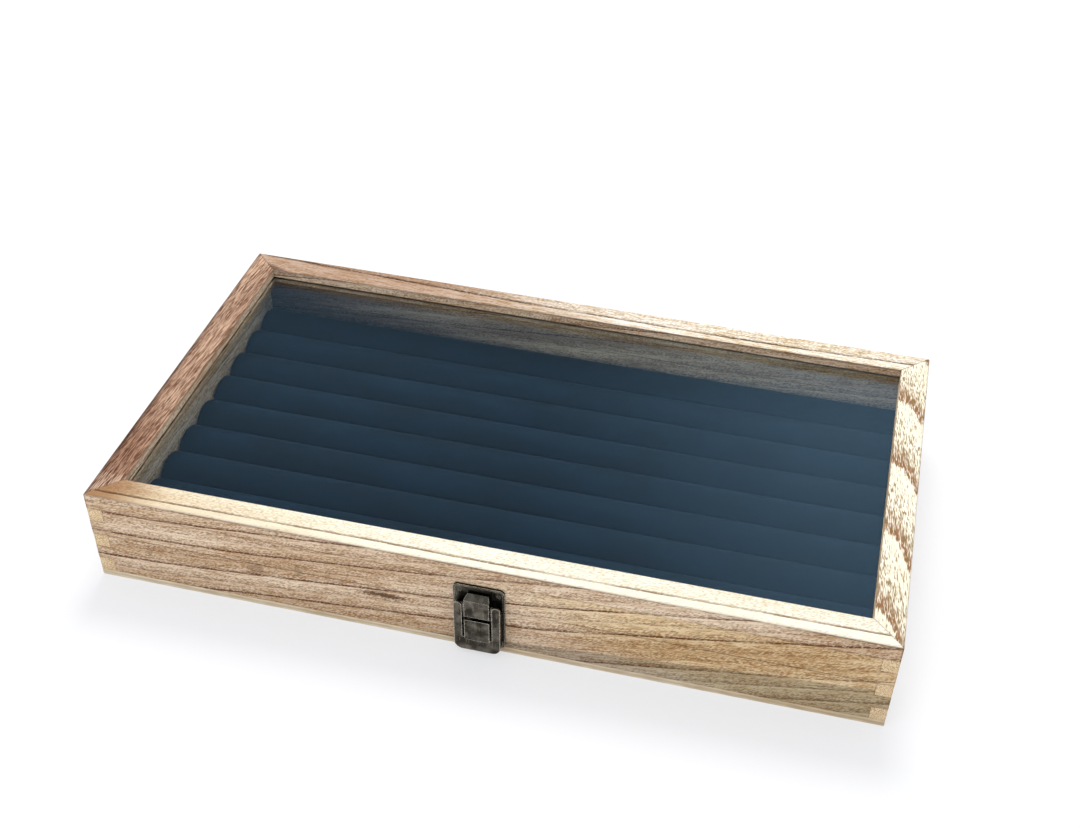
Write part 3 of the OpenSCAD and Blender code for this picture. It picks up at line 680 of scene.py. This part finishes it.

# %% [markdown]
# ## Metal
# Hinges and latch are stamped sheet with an antique bronze finish: a dark brown lacquer that was
# rubbed off again where fingers and tools touch, so edges and bends shine, and the bright edges
# are partly painted highlight. The recesses are painted nearly black as shade, and the flat plates
# kept most of the lacquer. Wear and shade could be painted by hand, but the edge mask and ambient
# occlusion find the same places by themselves.

# %% Antique bronze
# Patches per metre of each noise, and distances in metres.
TARNISH = (180, 180, 180)
GRIT = (1500, 1500, 1500)
SCRATCHES = (3000, 900, 160)
WEAR_HIGHLIGHT_REACH = 0.0008
RECESS = 0.0040
GRIT_EDGE, GRIT_LEAST = (0.3, 0.6), 0.3  # lacquer held on in spots along the worn edges
SCRATCH_EDGE, SCRATCH_SHARE = (0.62, 0.72), 0.3
PATCH_EDGE, PATCH_SHARE = (0.35, 0.75), 0.18
RECESS_SHADE_EDGE, RECESS_SHADE_MOST = (0.85, 0.45), 0.95  # openness where painted shade begins and where it is full


def antique_metal(name, dark, bright, rub_and_highlight, rough):
    """Metal with a dark finish, rubbed bright on its edges, which are partly painted highlight,
    and painted dark as shade in its recesses.
    """
    finish, tree = new_finish(name)
    here = place(tree, "TexCoord").outputs["Object"]
    cloud = mottle(tree, stretch(tree, here, TARNISH), 4.0)
    grit = mottle(tree, stretch(tree, here, GRIT), 3.0)
    scratch = mottle(tree, stretch(tree, here, SCRATCHES), 2.0)
    # The bright edge colour is partly real wear and partly painted highlight where rims and bends
    # catch the light.
    edge = use_group(tree, edges, {"Reach": WEAR_HIGHLIGHT_REACH})["Edge"]
    wear_and_highlight = calc(tree, "MULTIPLY", edge, ramp(tree, grit, *GRIT_EDGE, GRIT_LEAST, 1.0))
    wear_and_highlight = calc(tree, "MULTIPLY", wear_and_highlight, rub_and_highlight)
    lines = calc(tree, "MULTIPLY", ramp(tree, scratch, *SCRATCH_EDGE), SCRATCH_SHARE)
    patch = calc(tree, "MULTIPLY", ramp(tree, cloud, *PATCH_EDGE), PATCH_SHARE)
    wear_and_highlight = calc(tree, "MAXIMUM", wear_and_highlight, calc(tree, "MAXIMUM", lines, patch))
    # Ambient occlusion finds the recesses, and the near-black mixed in there is painted shade.
    recess = place(tree, "AmbientOcclusion", {"Distance": RECESS}, samples=8).outputs["AO"]
    recess_shade = ramp(tree, recess, *RECESS_SHADE_EDGE, 0.0, RECESS_SHADE_MOST)
    colour = stain(tree, wear_and_highlight, paint(dark), paint(bright))
    colour = stain(tree, recess_shade, colour, paint("12110f"))
    tarnished = ramp(tree, cloud, 0.3, 0.7, rough + 0.12, rough - 0.06)
    relief = place(tree, "Bump", {"Height": grit, "Strength": 0.25, "Distance": 0.00005})
    skin = place(tree, "BsdfPrincipled", {"Base Color": colour, "Metallic": 1.0,
                                          "Roughness": tarnished,
                                          "Normal": relief.outputs[0]})
    place(tree, "OutputMaterial", {"Surface": skin.outputs[0]})
    return finish


bronze = antique_metal("antique_bronze", "312d27", "ece2ce", rub_and_highlight=1.0, rough=0.26)
deep_bronze = antique_metal("deep_bronze", "191713", "e6dcc8", rub_and_highlight=1.0, rough=0.34)
dark_steel = antique_metal("dark_steel", "3c3730", "958a78", rub_and_highlight=0.7, rough=0.30)
metal_names = [name for name in nodes if name.startswith(("hinge_", "latch_"))]
for name in metal_names:
    finish_node(name, deep_bronze if name.endswith("_plate") else bronze)
print("metal nodes:", len(metal_names))

# %% [markdown]
# ## Softened edges
# CAD edges are perfectly sharp, and real ones never are. A narrow bevel catches the light on
# sheet metal and shows the thin seams of the finger joints. The CAD mesh itself stays as it is:
# modifiers weld its triangles, join the flat ones and round what is left.


# %% Bevel on the CAD nodes
BOARD_ARRIS, STICK_ARRIS, METAL_ARRIS = 0.0003, 0.0002, 0.00015
WELD_REACH = 0.000002
FLAT_WITHIN, SHARP_FROM = math.radians(0.5), math.radians(40)


def soften(name, width):
    """Rounds a node's sharp edges without touching its mesh."""
    piece = nodes[name]
    weld = piece.modifiers.new("weld", "WELD")
    weld.merge_threshold = WELD_REACH
    flat = piece.modifiers.new("flat faces", "DECIMATE")
    flat.decimate_type = "DISSOLVE"
    flat.angle_limit = FLAT_WITHIN
    bevel = piece.modifiers.new("arris", "BEVEL")
    bevel.width = width
    bevel.segments = 2
    bevel.limit_method = "ANGLE"
    bevel.angle_limit = SHARP_FROM
    even = piece.modifiers.new("even light", "WEIGHTED_NORMAL")
    even.keep_sharp = False


for name in nodes:
    if name.endswith("_board") and name != "insert_board":
        soften(name, BOARD_ARRIS)
    elif name.startswith("top_frame") or name == "bottom_panel":
        soften(name, STICK_ARRIS)
    elif name in metal_names and not name.endswith("screws"):
        soften(name, METAL_ARRIS)
print("softened nodes:", sum("arris" in piece.modifiers for piece in nodes.values()))

# %% [markdown]
# ## Velvet rolls
# The insert is a row of foam strips wrapped in velvet, pressed side by side so that a ring grips
# in the slit between two of them. A plain half round would look like plastic pipe. So each roll
# starts as a slightly lean block, is blown up as cloth with its underside held fast, and is then
# limited to the room that it has between its neighbours.


# %% Block for one roll
CUTS = 89, 11, 9  # along the roll, across it and up
ALIGNED = 0.9  # share of an edge that has to lie along an axis for it to be cut there


def roll_block(low, high):
    """A finely divided block from corner to corner."""
    work = bmesh.new()
    bmesh.ops.create_cube(work, size=1.0)
    bmesh.ops.scale(work, vec=high - low, verts=work.verts)
    for axis, cuts in enumerate(CUTS):
        along = [e for e in work.edges
                 if abs((e.verts[0].co - e.verts[1].co).normalized()[axis]) > ALIGNED]
        bmesh.ops.subdivide_edges(work, edges=along, cuts=cuts, use_grid_fill=True)
    bmesh.ops.translate(work, vec=(low + high) / 2, verts=work.verts)
    return work


# %% Row of rolls before they are blown up
FLANK = 14.0 / 19.5  # share of a roll's height where its round crest begins
SLACK = 0.0003  # metres by which a roll starts leaner than its room
FOOT = 0.001  # height above the board up to which a roll keeps its sharp foot


def crest(across, half, low_z, high_z):
    """Height of a roll's top at a distance from its middle line."""
    flank_z = low_z + (high_z - low_z) * FLANK
    rise = high_z - flank_z
    radius = (half ** 2 + rise ** 2) / (2 * rise)
    return high_z - radius + np.sqrt(np.maximum(radius ** 2 - across ** 2, 0))


ROLL = "foam_roll_"
roll_names = sorted((name for name in nodes if name.startswith(ROLL)),
                    key=lambda name: int(name[len(ROLL):]))
blocks = bmesh.new()
limits = []
for name in roll_names:
    low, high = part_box(name)
    limits.append((low, high))
    one = roll_block(low + Vector((SLACK, SLACK, 0)), high - Vector((SLACK, SLACK, SLACK)))
    half = (high.y - low.y) / 2
    for v in one.verts:
        across = v.co.y - (low.y + high.y) / 2
        top = crest(across, half, low.z, high.z) - SLACK
        v.co.z = low.z + (v.co.z - low.z) / (high.z - SLACK - low.z) * (top - low.z)
    bmesh.ops.smooth_vert(one, verts=[v for v in one.verts if v.co.z > low.z + FOOT],
                          factor=0.5, use_axis_x=True, use_axis_y=True, use_axis_z=True)
    part = bpy.data.meshes.new("roll part")
    one.to_mesh(part)
    one.free()
    blocks.from_mesh(part)
    bpy.data.meshes.remove(part)
pads = new_object("pads", blocks)
per_roll = len(pads.data.vertices) // len(roll_names)
print("rolls:", len(roll_names), "points each:", per_roll)


# %% Blow the rolls up
CLOTH = {"quality": 5, "mass": 0.3, "tension_stiffness": 12, "compression_stiffness": 12,
         "bending_stiffness": 0.6, "use_pressure": True, "uniform_pressure_force": 5.0}
HELD_BELOW = 0.0004  # height above the board up to which the velvet is glued down
FIRMNESS, UNEVEN = 0.75, 0.45
SOFT_SPOTS = (28, 60, 20)  # firmer and softer spots per metre
FRAMES = 20


def points_of(mesh):
    """The mesh's points as rows of an array."""
    flat = np.empty(len(mesh.vertices) * 3)
    mesh.vertices.foreach_get("co", flat)
    return flat.reshape(-1, 3)


def inflate(piece, floor_z):
    """Cloth with air pressure: its underside is held, and some patches are softer than others."""
    rest = points_of(piece.data)
    held = piece.vertex_groups.new(name="held")
    held.add([int(i) for i in np.flatnonzero(rest[:, 2] < floor_z + HELD_BELOW)], 1.0, "REPLACE")
    firm = piece.vertex_groups.new(name="firm")
    for i, p in enumerate(rest):
        wave = noise.noise(Vector([c * spots for c, spots in zip(p, SOFT_SPOTS)]))
        firm.add([i], FIRMNESS + UNEVEN * wave, "REPLACE")
    cloth = piece.modifiers.new("velvet", "CLOTH")
    set_up = cloth.settings
    for name, value in CLOTH.items():
        setattr(set_up, name, value)
    set_up.vertex_group_pressure = "firm"
    set_up.vertex_group_mass = "held"
    set_up.effector_weights.gravity = 0.0
    for step in range(1, FRAMES + 1):
        bpy.context.scene.frame_set(step)
    graph = bpy.context.evaluated_depsgraph_get()
    blown = points_of(piece.evaluated_get(graph).data)
    bpy.context.scene.frame_set(1)
    piece.modifiers.remove(cloth)
    return blown


rest = points_of(pads.data)
blown = inflate(pads, limits[0][0].z)
moved = np.linalg.norm(blown - rest, axis=1)
print("velvet moved, mm:", round(moved.mean() * 1000, 2), "most", round(moved.max() * 1000, 2))

# %% [markdown]
# ## Velvet
# Velvet is dark where one looks into its pile and lighter where one looks across it. Short hairs
# would show that, but thousands of them are slow and can't be exported. Sheen does the same on a
# plain surface: it brightens the flanks that turn away. A few specks of lint break up the dark.

# %% Velvet
BRUSHED, PILE = (26, 60, 40), (3000, 3000, 3000)  # patches per metre
LINT = 130.0  # specks per metre, in each direction
SPECK = (0.035, 0.015)  # from a speck's rim to its core, in cells of the pattern


def velvet(name):
    finish, tree = new_finish(name)
    here = place(tree, "TexCoord").outputs["Object"]
    brushed = mottle(tree, stretch(tree, here, BRUSHED), 3.0)
    pile = mottle(tree, stretch(tree, here, PILE), 2.0)
    shade = calc(tree, "ADD", calc(tree, "MULTIPLY", brushed, 0.7),
                 calc(tree, "MULTIPLY", pile, 0.3))
    colour = stain(tree, ramp(tree, shade, 0.35, 0.65), paint("061019"), paint("0a1928"))
    lint = place(tree, "TexVoronoi", {"Vector": here, "Scale": LINT}).outputs["Distance"]
    colour = stain(tree, ramp(tree, lint, *SPECK), colour, paint("3a4654"))
    relief = place(tree, "Bump", {"Height": pile, "Strength": 0.2, "Distance": 0.0001})
    skin = place(tree, "BsdfPrincipled", {
        "Base Color": colour, "Roughness": 0.95, "Specular IOR Level": 0.1,
        "Sheen Weight": 0.15, "Sheen Roughness": 0.22, "Sheen Tint": paint("6ca1ca"),
        "Normal": relief.outputs[0]})
    place(tree, "OutputMaterial", {"Surface": skin.outputs[0]})
    return finish


soft_velvet = velvet("velvet")
finish_node("insert_board", soft_velvet)
print("nodes of the velvet:", len(soft_velvet.node_tree.nodes))

# %% One object for each roll
MOST_SWELL = 0.0009
END_ROOM, CREST_ROOM = 0.0001, 0.0002  # metres by which the velvet may pass the plain foam

for number, (name, (low, high)) in enumerate(zip(roll_names, limits)):
    part = slice(number * per_roll, (number + 1) * per_roll)
    start = rest[part]
    step = blown[part] - start
    reach = np.linalg.norm(step, axis=1, keepdims=True)
    shape = start + step * np.minimum(1, MOST_SWELL / np.maximum(reach, 1e-9))
    half = (high.y - low.y) / 2
    middle = (high.y + low.y) / 2
    shape[:, 0] = np.clip(shape[:, 0], low.x - END_ROOM, high.x + END_ROOM)
    shape[:, 1] = np.clip(shape[:, 1], middle - half, middle + half)
    top = crest(shape[:, 1] - middle, half, low.z, high.z) + CREST_ROOM
    shape[:, 2] = np.clip(shape[:, 2], low.z, top)
    work = bmesh.new()
    work.from_mesh(pads.data)
    work.verts.ensure_lookup_table()
    strays = [v for v in work.verts if not part.start <= v.index < part.stop]
    for v, p in zip(work.verts[part.start:part.stop], shape):
        v.co = p
    bmesh.ops.delete(work, geom=strays, context="VERTS")
    roll = new_object("velvet_roll_" + name[len(ROLL):], work)
    roll.data.shade_smooth()
    roll.data.materials.append(soft_velvet)
    finer = roll.modifiers.new("finer", "SUBSURF")
    finer.levels = finer.render_levels = 1
    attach(roll, "base")
    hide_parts(name)
    print(roll.name, "mm:", [round(v * 1000, 1) for v in roll.dimensions])
bpy.data.objects.remove(pads)

# %% [markdown]
# ## Cross-recess screws
# Small domed screws hold the hinges and the latch. A plain dome would read as a rivet, and a
# cross painted on it would be gone in the mesh. So the head is turned as a profile, and a cross
# of two tapered blades is cut out of it.

# %% Blank of a screw
HEAD_R, HEAD_H, SHANK_R, SHANK_L = 0.0015, 0.0008, 0.0009, 0.0060
TIP_R, CONE_L = SHANK_R * 0.55, SHANK_R * 2.2
DOME_STEPS, SPIN_STEPS = 6, 32
MERGE_REACH = 0.000005


def screw_blank():
    """A screw along +Y without its cross, with its seat at the origin."""
    dome = (HEAD_R ** 2 + HEAD_H ** 2) / (2 * HEAD_H)
    line = [(0, SHANK_L), (TIP_R, SHANK_L - SHANK_R), (SHANK_R, SHANK_L - CONE_L),
            (SHANK_R, 0), (HEAD_R, 0)]
    sweep = math.asin(HEAD_R / dome)
    for k in range(1, DOME_STEPS + 1):
        a = sweep * (1 - k / DOME_STEPS)
        line.append((dome * math.sin(a), dome - HEAD_H - dome * math.cos(a)))
    work = bmesh.new()
    points = [work.verts.new((x, y, 0)) for x, y in line]
    strip = [work.edges.new(pair) for pair in zip(points, points[1:])]
    bmesh.ops.spin(work, geom=points + strip, axis=(0, 1, 0), cent=(0, 0, 0), steps=SPIN_STEPS,
                   angle=2 * math.pi, use_merge=True)
    bmesh.ops.remove_doubles(work, verts=work.verts, dist=MERGE_REACH)
    bmesh.ops.recalc_face_normals(work, faces=work.faces)
    return new_object("screw blank", work)


# %% Cross cut out of the head
BLADE = HEAD_R * 1.25, HEAD_H * 1.1, HEAD_R * 0.26  # length, depth and width of a blade
TAPER_LONG, TAPER_WIDE = 0.45, 0.7
BLADE_TURN, BLADE_LIFT = 0.4, HEAD_H * 0.85


def cross_cutter():
    """Two tapered blades at a right angle, set over the head."""
    work = bmesh.new()
    for turn in (0, QUARTER):
        blade = bmesh.ops.create_cube(work, size=1.0)["verts"]
        bmesh.ops.scale(work, vec=BLADE, verts=blade)
        for v in blade:
            if v.co.y > 0:
                v.co.x *= TAPER_LONG
                v.co.z *= TAPER_WIDE
        bmesh.ops.rotate(work, verts=blade, cent=(0, 0, 0),
                         matrix=Matrix.Rotation(turn + BLADE_TURN, 3, "Y"))
        bmesh.ops.translate(work, vec=(0, -BLADE_LIFT, 0), verts=blade)
    return new_object("screw cutter", work)


def screw_mesh():
    """The finished screw as a mesh."""
    blank, cutter = screw_blank(), cross_cutter()
    cut = blank.modifiers.new("cross", "BOOLEAN")
    cut.object = cutter
    cut.operation = "DIFFERENCE"
    cut.use_self = True
    graph = bpy.context.evaluated_depsgraph_get()
    result = bpy.data.meshes.new_from_object(blank.evaluated_get(graph))
    bpy.data.objects.remove(blank)
    bpy.data.objects.remove(cutter)
    return result


one_screw = screw_mesh()
print("screw faces:", len(one_screw.polygons))

# %% [markdown]
# ## Places of the screws
# The screws of one leaf or plate share a CAD node. Their places could be copied as numbers from
# the construction, but they would be wrong as soon as it changed. So each node's mesh is taken
# apart into its loose solids, and every solid gives its place to a new screw.


# %% Screws in their holes
def solids_of(mesh):
    """Middle (x, z) of each loose solid of a mesh, found by welding it and walking its parts."""
    work = bmesh.new()
    work.from_mesh(mesh)
    bmesh.ops.remove_doubles(work, verts=work.verts, dist=WELD_REACH)
    seen, middles = set(), []
    for first in work.verts:
        if first in seen:
            continue
        seen.add(first)
        stack, group = [first], []
        while stack:
            v = stack.pop()
            group.append(v.co.copy())
            for e in v.link_edges:
                other = e.other_vert(v)
                if other not in seen:
                    seen.add(other)
                    stack.append(other)
        middles.append((sum(c.x for c in group) / len(group),
                        sum(c.z for c in group) / len(group)))
    work.free()
    return sorted(middles)


SCREWS = {"hinge_base_screws": "base", "hinge_lid_screws": "lid",
          "latch_base_screws": "base", "latch_catch_screws": "lid"}
TURN_EACH = 0.7  # radians between the crosses of two neighbours, as hand-driven screws end

for node, body in SCREWS.items():
    low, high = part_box(node)
    front = low.y < 0
    seat = low.y + HEAD_H if front else high.y - HEAD_H
    facing = Matrix.Rotation(0 if front else math.pi, 3, "Z")
    spots = solids_of(nodes[node].data)
    work = bmesh.new()
    for k, (x, z) in enumerate(spots):
        before = len(work.verts)
        work.from_mesh(one_screw)
        work.verts.ensure_lookup_table()
        new = work.verts[before:]
        turn = facing @ Matrix.Rotation(TURN_EACH * k, 3, "Y")
        bmesh.ops.rotate(work, verts=new, cent=(0, 0, 0), matrix=turn)
        bmesh.ops.translate(work, verts=new, vec=(x, seat, z))
    piece = new_object(node.replace("screws", "cross_screws"), work)
    piece.data.materials.clear()
    piece.data.materials.append(dark_steel)
    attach(piece, body)
    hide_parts(node)
    print(piece.name, "at x, z:", [(round(x, 4), round(z, 4)) for x, z in spots])
